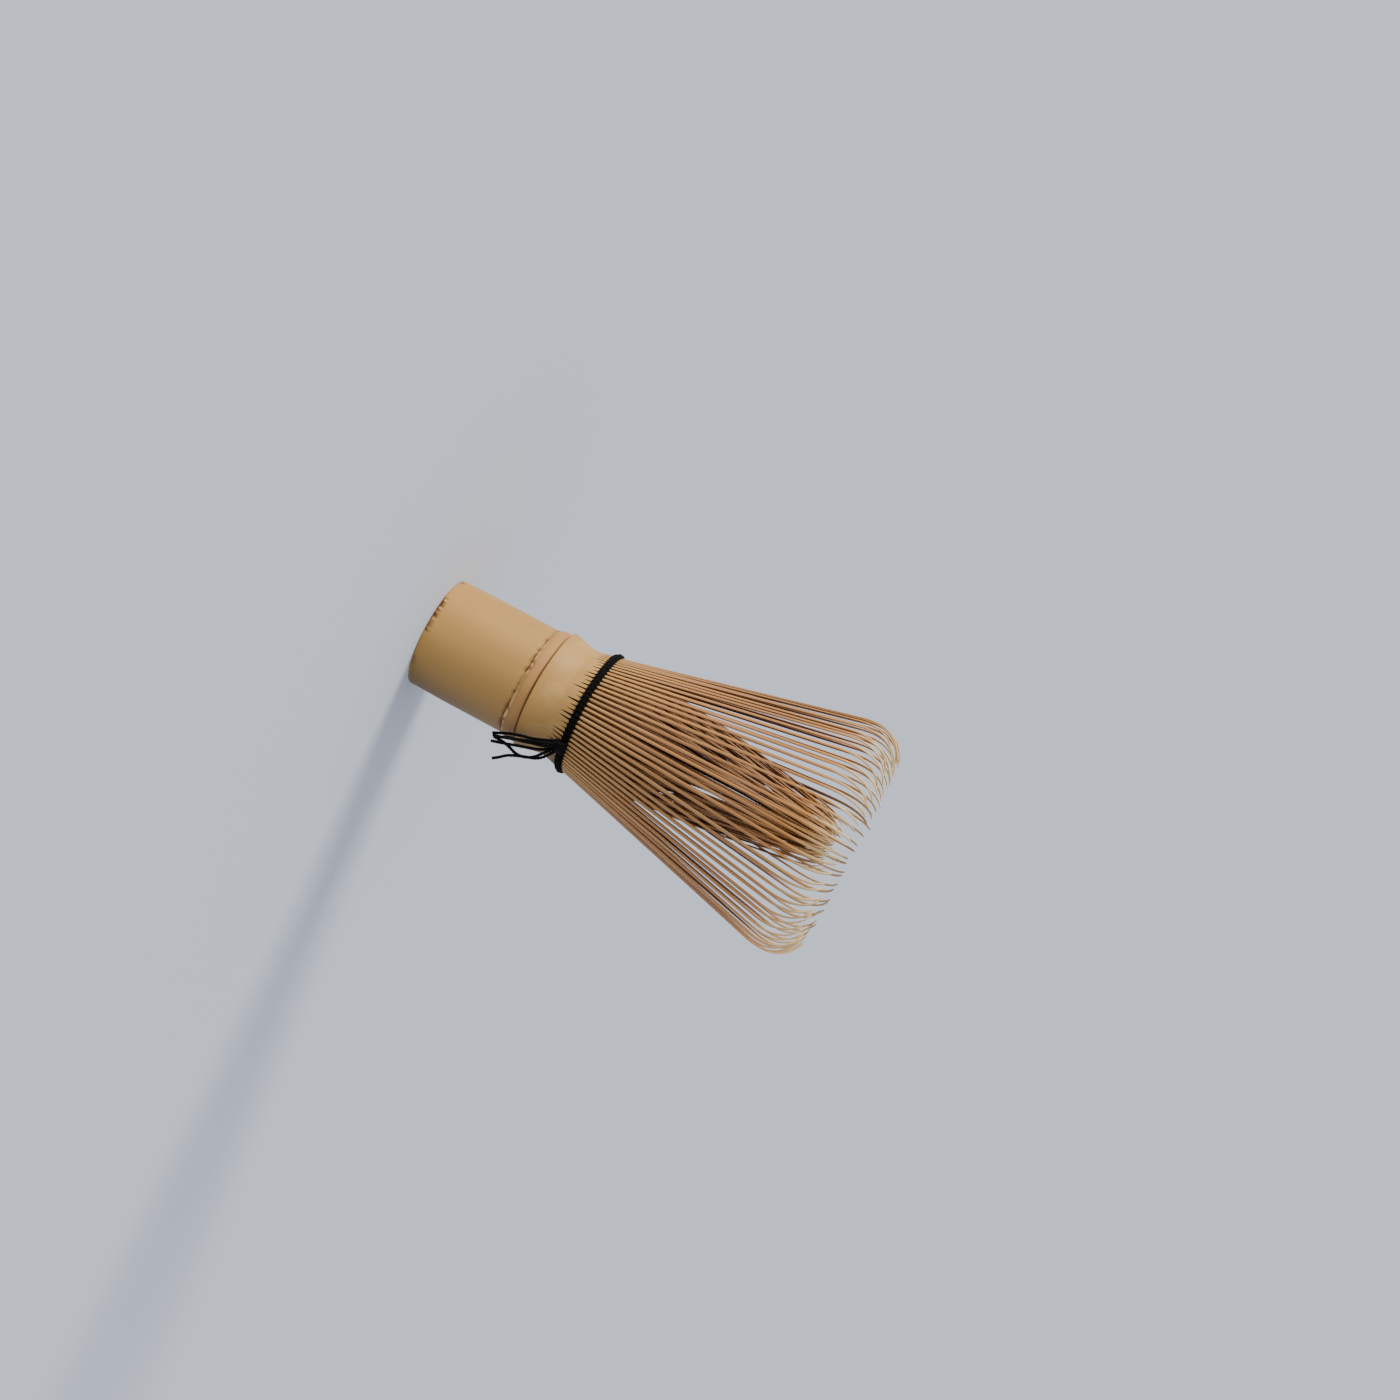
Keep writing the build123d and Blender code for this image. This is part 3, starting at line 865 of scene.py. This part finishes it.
def outer_tines():
    """All that the sweep needs, one row for each outer tine."""
    rng = np.random.default_rng(7)
    length, whole, lean, out, up = outer_curves(rng)
    place = (np.arange(TINE_COUNT)[:, None] + 0.5) * PITCH
    high = np.clip((up - BEND_START) / (WHISK_TOP - BEND_START), 0, 1)
    drift = np.clip(by_hand(rng, TINE_COUNT, 0.30), -0.6, 0.6) * MM * high**1.2 / out
    clump = 0.35 * MM * np.sin(place * 11 + 0.7) * high / out
    width = (0.66 + 0.26 * smooth_step(high, 0, 0.3) - 0.38 * high**1.5) * MM
    width = width * (1 + by_hand(rng, TINE_COUNT, 0.08))
    thickness = (0.55 - 0.27 * high) * MM
    tip = np.sqrt(np.clip((whole - length) / (0.3 * MM), 0.3, 1))
    tone_and_shade = rng.uniform(0.22, 1, TINE_COUNT)[:, None] + 0 * high
    angle, along = place + drift + clump, length / whole
    return out, up, lean, angle, width * tip, thickness * tip, along, tone_and_shade


# %% Build the outer tines
outer_rows = outer_tines()
for stave, node in enumerate(outer_nodes):
    own = slice(stave * TINES_PER_STAVE, (stave + 1) * TINES_PER_STAVE)
    piece = sweep_tines(f"stave_tines_{stave + 1:02d}", *(rows[own] for rows in outer_rows), own.start)
    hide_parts(node)
    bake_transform(piece)
reach = [round(float(rows.max()) / MM, 2) for rows in outer_rows[:2]]
print("outer tines reach", reach[0], "mm out and", reach[1], "mm up")

# %% [markdown]
# ### Inner tines
# Every second strip of the split wall is split again, finer, and bent inward behind the thread.
# Near the root these stand straight behind the outer ones. Higher up the maker gathers them, so
# that they lean in to a loose bundle that narrows to its tip, crossing one another here and
# there. They lie in three layers, because one ring of tines couldn't fill the bundle: the layers
# bend at their own heights and lean by their own amounts.

# %% Plan of the inner tines
INNER_STEP = 0.85 * MM
INNER_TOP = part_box(inner_nodes[0])[1][2]
INNER_STATIONS = 44
ROOT_LEAN = math.radians(3.7)
LAYER_LEAN = (10.5, 12.0, 13.5)
LAYER_BEND = ((17, 11, 5), (44, 36, 28))
NARROWEST = 1.2 * MM


def inner_curves(rng):
    """Length, whole length, lean, way out and way up: a small lean, a long bend, the tip's."""
    layer = (np.arange(INNER_COUNT) % len(LAYER_LEAN))[:, None]
    tip_lean = np.radians(np.choose(layer, LAYER_LEAN) + by_hand(rng, INNER_COUNT, 0.8))
    whole = (INNER_TOP - TINE_START) * 1.02 + by_hand(rng, INNER_COUNT, 0.8 * MM)
    length = whole * np.linspace(0, 1, INNER_STATIONS)
    bend_from, bend_to = (np.choose(layer, heights) * MM for heights in LAYER_BEND)
    bent = smooth_step(length, bend_from, bend_to)
    wave = np.sin(length / whole * 5 + rng.uniform(0, 6.3, INNER_COUNT)[:, None])
    lean = -ROOT_LEAN * (1 - bent) - tip_lean * bent + 0.02 * wave * bent
    lean = lean - 0.5 * smooth_step(whole - length, 5 * MM, 0)
    out, up = lean_curve(ROOT_RADIUS - INNER_STEP, TINE_START, lean, length)
    return length, whole, lean, np.maximum(out, NARROWEST), up


def inner_tines():
    """All that the sweep needs, one row for each inner tine."""
    rng = np.random.default_rng(19)
    length, whole, lean, out, up = inner_curves(rng)
    number = np.arange(INNER_COUNT)[:, None]
    place = PITCH / 2 + (number + 0.5) * 2 * np.pi / INNER_COUNT
    high = np.clip((up - BEND_START) / (INNER_TOP - BEND_START), 0, 1)
    gather = -0.20 * PITCH * np.sin(number * 2 * np.pi / 7) * high**0.7
    sideways = np.clip(by_hand(rng, INNER_COUNT, 0.9), -1.8, 1.8) * MM * high**1.3 / out
    width = (0.68 - 0.28 * high) * MM * (1 + by_hand(rng, INNER_COUNT, 0.08))
    thickness = (0.50 - 0.24 * high) * MM
    tip = np.sqrt(np.clip((whole - length) / (0.5 * MM), 0.12, 1))
    # painted shade: inner tines are darkest low in the bundle and lighter towards its top
    tone_and_shade = rng.uniform(0, 0.06, INNER_COUNT)[:, None] + 0.26 * smooth_step(high, 0.18, 0.55)
    angle, along = place + gather + sideways, 0.9 * length / whole
    return out, up, lean, angle, width * tip, thickness * tip, along, tone_and_shade


# %% Build the inner tines
FIRST_INNER_GRAIN = 200
inner_rows = inner_tines()
for number, node in enumerate(inner_nodes):
    own = slice(number * TINES_PER_INNER_SET, (number + 1) * TINES_PER_INNER_SET)
    piece = sweep_tines(f"core_tines_{number + 1}", *(rows[own] for rows in inner_rows),
                        FIRST_INNER_GRAIN + own.start)
    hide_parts(node)
    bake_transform(piece)
print("inner tines reach", round(float(inner_rows[1].max()) / MM, 2), "mm up")

# %% [markdown]
# ## The thread
# Black cotton, twisted from three plies, is wound over the outer tines where they start. Cotton
# is matt, so it is rough and has little gloss, and its bump follows fibres that lie across the
# ply. The pattern reads the thread's own UV, because it has to turn with the thread.

# %% Thread material
THREAD_BLACK = linear(6, 3, 3)
THREAD_WORN = linear(19, 12, 11)


def make_thread_material():
    """Matt black cotton with fine fibres that lie across the ply."""
    material, tree = start_material("cotton_thread")
    grain = add(tree, "ShaderNodeUVMap", uv_map="grain").outputs["UV"]
    fibre = noise(tree, grain, (1, 0.25, 1), 14000, 3.0, 0.65, 0.6)
    lint = noise(tree, grain, (1, 1, 1), 2600, 3.0, 0.6)
    colour = mix(tree, scale_range(tree, fibre, 0.0, 0.5), THREAD_BLACK, THREAD_WORN)
    rough = scale_range(tree, lint, 0.70, 0.92)
    finish_material(tree, colour, rough, fibre, strength=0.6, depth=0.06 * MM, gloss=0.12)
    return material


thread_material = make_thread_material()
print("thread material has", len(thread_material.node_tree.nodes), "nodes")

# %% [markdown]
# ### Twisting the plies
# A ply is a thin tube that circles the middle of the thread as it goes. A plain tube with a
# twisted bump would look right from afar, but its outline would be smooth. Real plies make the
# outline of a thread lumpy, so each ply is its own tube here.

# %% Along a path
PLIES = 3
PLY_SIDES = 6
PLY_RADIUS = 0.30
PLY_ORBIT = 0.20


def frames_along(path, closed):
    """Side and lift, the two ways across a path; the lift points away from the whisk's axis."""
    if closed:
        direction = np.roll(path, -1, 0) - np.roll(path, 1, 0)
    else:
        direction = np.gradient(path, axis=0)
    direction /= np.linalg.norm(direction, axis=1, keepdims=True)
    away = path * (1, 1, 0) + (0, 0, 1e-6)
    side = np.cross(direction, away)
    side /= np.linalg.norm(side, axis=1, keepdims=True)
    return side, np.cross(side, direction)


def ply_faces(rows, closed):
    """Quads of one ply, joined to its own start if it is closed, and caps if it is not."""
    cols = np.arange(PLY_SIDES)
    last = (rows - 1) * PLY_SIDES
    faces = ring_faces(rows, PLY_SIDES)
    if not closed:
        return faces, [cols[::-1], last + cols]
    ahead = (cols + 1) % PLY_SIDES
    return np.concatenate([faces, np.stack([last + cols, last + ahead, ahead, cols], 1)]), []


print("a closed ply of 10 rows has", len(ply_faces(10, True)[0]), "quads")


# %% Twisted thread
def twisted_thread(name, path, diameter, lay, closed=False):
    """Plies round a path: each ply's middle circles it once per lay, a fifth of a diameter out.

    On a closed path the lay is stretched a little, so that a whole number of turns goes round.
    """
    side, lift = frames_along(path, closed)
    step = np.linalg.norm(np.diff(path, axis=0, append=path[:1] if closed else path[-1:]), axis=1)
    length = np.concatenate([[0], np.cumsum(step)[:-1]])
    turns = length / lay
    if closed:
        turns = turns * (round(step.sum() / lay) / (step.sum() / lay))
    around = np.linspace(0, 2 * np.pi, PLY_SIDES, endpoint=False)
    ring = np.cos(around)[:, None] * side[:, None] + np.sin(around)[:, None] * lift[:, None]
    faces, ends = ply_faces(len(path), closed)
    points, quads, caps, uvs = [], [], [], []
    for ply in range(PLIES):
        phase = 2 * np.pi * (turns + ply / PLIES)
        circle = np.cos(phase)[:, None] * side + np.sin(phase)[:, None] * lift
        middle = path + PLY_ORBIT * diameter * circle
        points.append((middle[:, None] + PLY_RADIUS * diameter * ring).reshape(-1, 3))
        base = ply * len(path) * PLY_SIDES
        quads.append(faces + base)
        caps += [cap + base for cap in ends]
        girth = np.linspace(0, 1, PLY_SIDES) * diameter * 2 + ply * 3 * MM
        uvs.append(np.stack(np.broadcast_arrays(girth, length[:, None]), -1).reshape(-1, 2))
    piece = add_mesh(name, np.concatenate(points), np.concatenate(quads), caps, uv=np.concatenate(uvs))
    piece.data.materials.append(thread_material)
    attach(piece, WHISK_BODY)
    return piece


# %% [markdown]
# ### Winding the courses
# The thread goes three times round. It lies on each tine and dips a little between two of them,
# the courses press against each other, and the middle one rides up on its neighbours. Each course
# is a closed ring here, because the place where one climbs to the next is hidden in the knot.

# %% Binding courses
THREAD = 0.72 * MM
COURSE_CLOSENESS = 0.66
COURSE_LIFT = (0.46, 0.72, 0.46)
COURSE_DIP = (0.26, 0.12, 0.50)
COURSE_SWAY = (-0.26, 0.0, 0.38)
course_nodes = sorted(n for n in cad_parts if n.startswith("binding_thread_"))


def wind_course(number, node):
    """One closed course: on top of every outer tine, dipping between them, wandering a little."""
    low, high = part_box(node)
    z = BAND_Z + COURSE_CLOSENESS * ((low[2] + high[2]) / 2 - BAND_Z)
    angle = np.linspace(0, 2 * np.pi, TINE_COUNT * 10, endpoint=False)
    between = (0.5 + 0.5 * np.cos(angle * TINE_COUNT)) ** 2
    lift = COURSE_LIFT[number] + 0.05 * ripple(angle, 60 + number, [7, 13, 21, 34], 0.2)
    radius = collar_radius(z) + lift * THREAD - COURSE_DIP[number] * MM * between
    wander = COURSE_SWAY[number] * MM * between + 0.05 * MM * ripple(angle, 30, [2, 3, 5, 9, 14])
    path = np.stack([radius * np.cos(angle), radius * np.sin(angle), z + wander], -1)
    piece = twisted_thread(f"thread_course_{number + 1}", path, THREAD * 1.05, 2.0 * MM, closed=True)
    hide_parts(node)
    return piece


courses = [wind_course(n, node) for n, node in enumerate(course_nodes)]
print("courses", [c.name for c in courses])

# %% [markdown]
# ### The knot
# The ends of the thread are tied in overhand knots at one side. An overhand knot drawn tight is
# close to a trefoil, the simplest closed knot, so the lump is a trefoil of thread round a packed
# core. A cloth or rope simulation could tie a real one, but the lump is smaller than a pea and
# black, so its outline is all that shows. Places near it are given from its middle, in
# millimetres: outward from the axis, round the whisk, and along it.

# %% Places round the knot
knot_low, knot_high = (Vector(corner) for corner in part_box("thread_knot"))
KNOT_MIDDLE = (knot_low + knot_high) / 2
KNOT_OUT = Vector((KNOT_MIDDLE.x, KNOT_MIDDLE.y, 0)).normalized()
KNOT_ROUND = Vector((-KNOT_OUT.y, KNOT_OUT.x, 0))
KNOT_FRAME = np.array([KNOT_OUT, KNOT_ROUND, (0, 0, 1)])
KNOT_SHIFT = (-0.3, -0.5, 0.6)


def from_knot(offsets):
    """Points in the whisk's frame from (out, round, along) offsets in millimetres."""
    return np.array(KNOT_MIDDLE) + np.asarray(offsets, float) * MM @ KNOT_FRAME


print("knot is", round(math.degrees(math.atan2(KNOT_OUT.y, KNOT_OUT.x)), 1), "degrees round the whisk")

# %% Knot
TREFOIL_SIZE = (0.75, 0.52, 0.60)
CORE_SIZE = (1.2, 1.6, 1.8)


def trefoil(turns):
    """A trefoil in unit size: a circle of 2, waved by a second circle that goes round 3 to 2."""
    out = np.sin(turns) + 2 * np.sin(2 * turns)
    along = np.cos(turns) - 2 * np.cos(2 * turns)
    return np.stack([-np.sin(3 * turns), out, along], -1)


def pack_core():
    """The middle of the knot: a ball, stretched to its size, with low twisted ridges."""
    rows, cols = 14, 20
    down = np.linspace(0.08, np.pi - 0.08, rows)[:, None]
    around = np.linspace(0, 2 * np.pi, cols, endpoint=False)
    ball = np.stack([np.sin(down) * np.cos(around), np.sin(down) * np.sin(around),
                     np.cos(down) + 0 * around], -1)
    ridges = 1 + 0.06 * np.sin(around * 5 + 6 * down)[..., None]
    points = from_knot((ball * ridges * CORE_SIZE + KNOT_SHIFT).reshape(-1, 3))
    caps = [np.arange(cols), ((rows - 1) * cols + np.arange(cols))[::-1]]
    uv = np.stack([around * 2 * MM + 0 * down, down * 2 * MM + 0 * around], -1)
    core = add_mesh("thread_knot_core", points, ring_faces(rows, cols)[:, ::-1], caps, uv=uv)
    core.data.materials.append(thread_material)
    return core


turns = np.linspace(0, 2 * np.pi, 120, endpoint=False)
wraps = from_knot(trefoil(turns) * TREFOIL_SIZE + KNOT_SHIFT)
lump = twisted_thread("thread_knot_wraps", wraps, 0.85 * MM, 2.0 * MM, closed=True)
core = pack_core()
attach(core, WHISK_BODY)
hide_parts("thread_knot")
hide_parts("thread_knot")
print("knot pieces", [lump.name, core.name])

# %% [markdown]
# ### The loose ends
# Six ends of thread leave the knot, stand off towards the handle and cross one another. Thread
# this short is stiff, so it keeps a smooth bend and doesn't hang. A NURBS spline gives such a bend
# from a few control points in the air. Its points are read back at even steps, so that the plies
# twist evenly along it.

# %% Routes of the loose ends
TAIL_DIAMETER = 0.78 * MM
TAIL_STEPS = 90
TAILS = (
    ((-0.64, -1.38, -0.49), (0.59, -1.19, -2.66), (0.87, 0.04, -5.28), (0.38, 1.29, -8.29),
     (0.17, 2.87, -11.60), (0.11, 4.93, -14.86)),
    ((0.20, -0.73, 0.11), (1.77, -0.46, -1.86), (2.02, 0.13, -4.67), (1.74, 1.63, -7.76),
     (0.82, 3.00, -10.71), (0.75, 4.44, -12.70), (0.27, 5.41, -14.51)),
    ((0.16, -0.17, 0.26), (1.76, 1.05, -1.44), (2.79, 3.74, -3.78), (2.86, 5.02, -7.02),
     (1.75, 4.67, -10.03), (1.09, 4.83, -12.15), (0.12, 5.84, -14.21)),
    ((0.02, -1.24, -0.12), (1.53, -1.34, -1.98), (1.94, -0.27, -4.82), (1.66, 1.24, -7.65),
     (1.80, 2.60, -10.40), (1.25, 4.20, -13.40)),
    ((0.19, 0.47, 0.46), (1.77, 1.66, -0.74), (2.77, 3.10, -2.41), (2.80, 4.36, -5.67),
     (3.02, 6.12, -9.23), (3.32, 7.67, -10.74), (3.48, 8.76, -12.19)),
    ((0.08, 0.04, 0.28), (1.79, 0.47, -1.85), (2.46, 1.23, -4.14), (2.41, 2.39, -7.20),
     (2.19, 3.96, -10.25), (1.71, 5.84, -14.17)),
)


def spline_points(name, points):
    """Points along a smooth NURBS spline that starts and ends at its end control points."""
    data = bpy.data.curves.new(name, "CURVE")
    data.dimensions = "3D"
    data.resolution_u = 14
    spline = data.splines.new("NURBS")
    spline.points.add(len(points) - 1)
    spline.points.foreach_set("co", np.concatenate([points, np.ones((len(points), 1))], 1).ravel())
    spline.order_u = 3
    spline.use_endpoint_u = True
    holder = bpy.data.objects.new(name, data)
    mesh = bpy.data.meshes.new_from_object(holder)
    path = np.empty(len(mesh.vertices) * 3)
    mesh.vertices.foreach_get("co", path)
    bpy.data.objects.remove(holder)
    bpy.data.meshes.remove(mesh)
    bpy.data.curves.remove(data)
    return path.reshape(-1, 3)


def tail_path(offsets):
    """The spline's points again at even steps, and the whole length."""
    path = spline_points("tail_route", from_knot(offsets))
    step = np.linalg.norm(np.diff(path, axis=0), axis=1)
    length = np.concatenate([[0], np.cumsum(step)])
    even = np.linspace(0, length[-1], TAIL_STEPS)
    return np.stack([np.interp(even, length, path[:, k]) for k in range(3)], -1), length[-1]


# %% Build the loose ends
for number, offsets in enumerate(TAILS):
    path, length = tail_path(offsets)
    tail = twisted_thread(f"thread_end_{number + 1}", path, TAIL_DIAMETER, 2.2 * MM)
    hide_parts(f"thread_tail_{number + 1}")
    print(tail.name, round(float(length) / MM, 1), "mm long")

# %% [markdown]
# ## The studio
# The whisk stands on its handle's flat end in its own frame, as the frame asks. In use it often
# lies in a bowl with its tips down, so the camera is rolled instead of the whisk: it looks across
# the whisk from in front and a little above, and the whisk lies with its tips down to the right.

# %% Camera
CAMERA_PLACE = Vector((0.0, -572.0, 136.0)) * MM
CAMERA_AIM = Vector((-14.6, 0.0, 61.4)) * MM
AXIS_DROP = math.radians(28)
LENS, SENSOR = 65, 36

forward = (CAMERA_AIM - CAMERA_PLACE).normalized()
up_whisk = (Vector((0, 0, 1)) - forward * forward.z).normalized()
beside = up_whisk.cross(forward)
right = up_whisk * math.cos(AXIS_DROP) + beside * math.sin(AXIS_DROP)
above = beside * math.cos(AXIS_DROP) - up_whisk * math.sin(AXIS_DROP)
camera_data = bpy.data.cameras.new("camera")
camera_data.lens = LENS
camera_data.sensor_width = SENSOR
camera_data.clip_start = 0.01
camera = bpy.data.objects.new("camera", camera_data)
turn = Matrix((right, above, -forward)).transposed().to_4x4()
camera.matrix_world = Matrix.Translation(CAMERA_PLACE) @ turn
bpy.context.scene.collection.objects.link(camera)
bpy.context.scene.camera = camera
print("camera", tuple(round(v, 3) for v in camera.location))

# %% [markdown]
# ### Floor and light
# A plain pale floor lies under the handle's flat end. One wide sun lamp, as soft as a large
# window, lights the skin from above and from the tips' side, and a pale room fills the shade. An
# area lamp would do too, but a sun is the same strength everywhere, so the floor stays even.

# %% Colours and strengths
KEY_SIDE = (above * 1.0 + right * 0.9 - forward * 0.45).normalized()
KEY_POWER = 5.0
KEY_SPREAD = math.radians(24)
KEY_COLOUR = np.array((1.0, 0.96, 0.90))
ROOM = np.array(linear(190, 197, 211)[:3]) * 1.42
FLOOR_RADIUS = 6
FLOOR_GAP = 0.02 * MM


def floor_paint():
    """The paint that makes the lit floor as bright as the room, so that no horizon shows.

    A matt floor sends back its paint times (the room's light + the key's light, slanted, over pi).
    """
    return (*(ROOM / (ROOM + KEY_POWER * KEY_COLOUR * KEY_SIDE.z / math.pi)).tolist(), 1.0)


print("floor paint", [round(v, 2) for v in floor_paint()[:3]])


# %% Floor, lamp and room
def make_floor():
    """A wide disc under the whisk, in matt grey paint."""
    angle = np.linspace(0, 2 * np.pi, 64, endpoint=False)
    rim = FLOOR_RADIUS * np.stack([np.cos(angle), np.sin(angle)], -1)
    points = np.column_stack([rim, 0 * angle - FLOOR_GAP])
    floor = add_mesh("floor", points, np.zeros((0, 4), int), [np.arange(64)])
    material, tree = start_material("floor_paint")
    shader = add(tree, "ShaderNodeBsdfDiffuse", {"Color": floor_paint()})
    add(tree, "ShaderNodeOutputMaterial", {"Surface": shader.outputs[0]})
    floor.data.materials.append(material)
    return floor


def hang_sun(name, direction, power, spread, colour):
    """A far, wide light: the same strength everywhere, with edges as soft as a large window's."""
    data = bpy.data.lights.new(name, "SUN")
    data.energy, data.angle, data.color = power, spread, colour
    light = bpy.data.objects.new(name, data)
    light.rotation_euler = direction.to_track_quat("Z", "Y").to_euler()
    light.location = direction.normalized()
    bpy.context.scene.collection.objects.link(light)
    return light


floor = make_floor()
key = hang_sun("key", KEY_SIDE, KEY_POWER, KEY_SPREAD, KEY_COLOUR)
world = bpy.data.worlds.new("room")
world.use_nodes = True
background = world.node_tree.nodes["Background"]
background.inputs["Color"].default_value = (*ROOM.tolist(), 1.0)
background.inputs["Strength"].default_value = 1.0
bpy.context.scene.world = world
print("stage", floor.name, key.name, world.name)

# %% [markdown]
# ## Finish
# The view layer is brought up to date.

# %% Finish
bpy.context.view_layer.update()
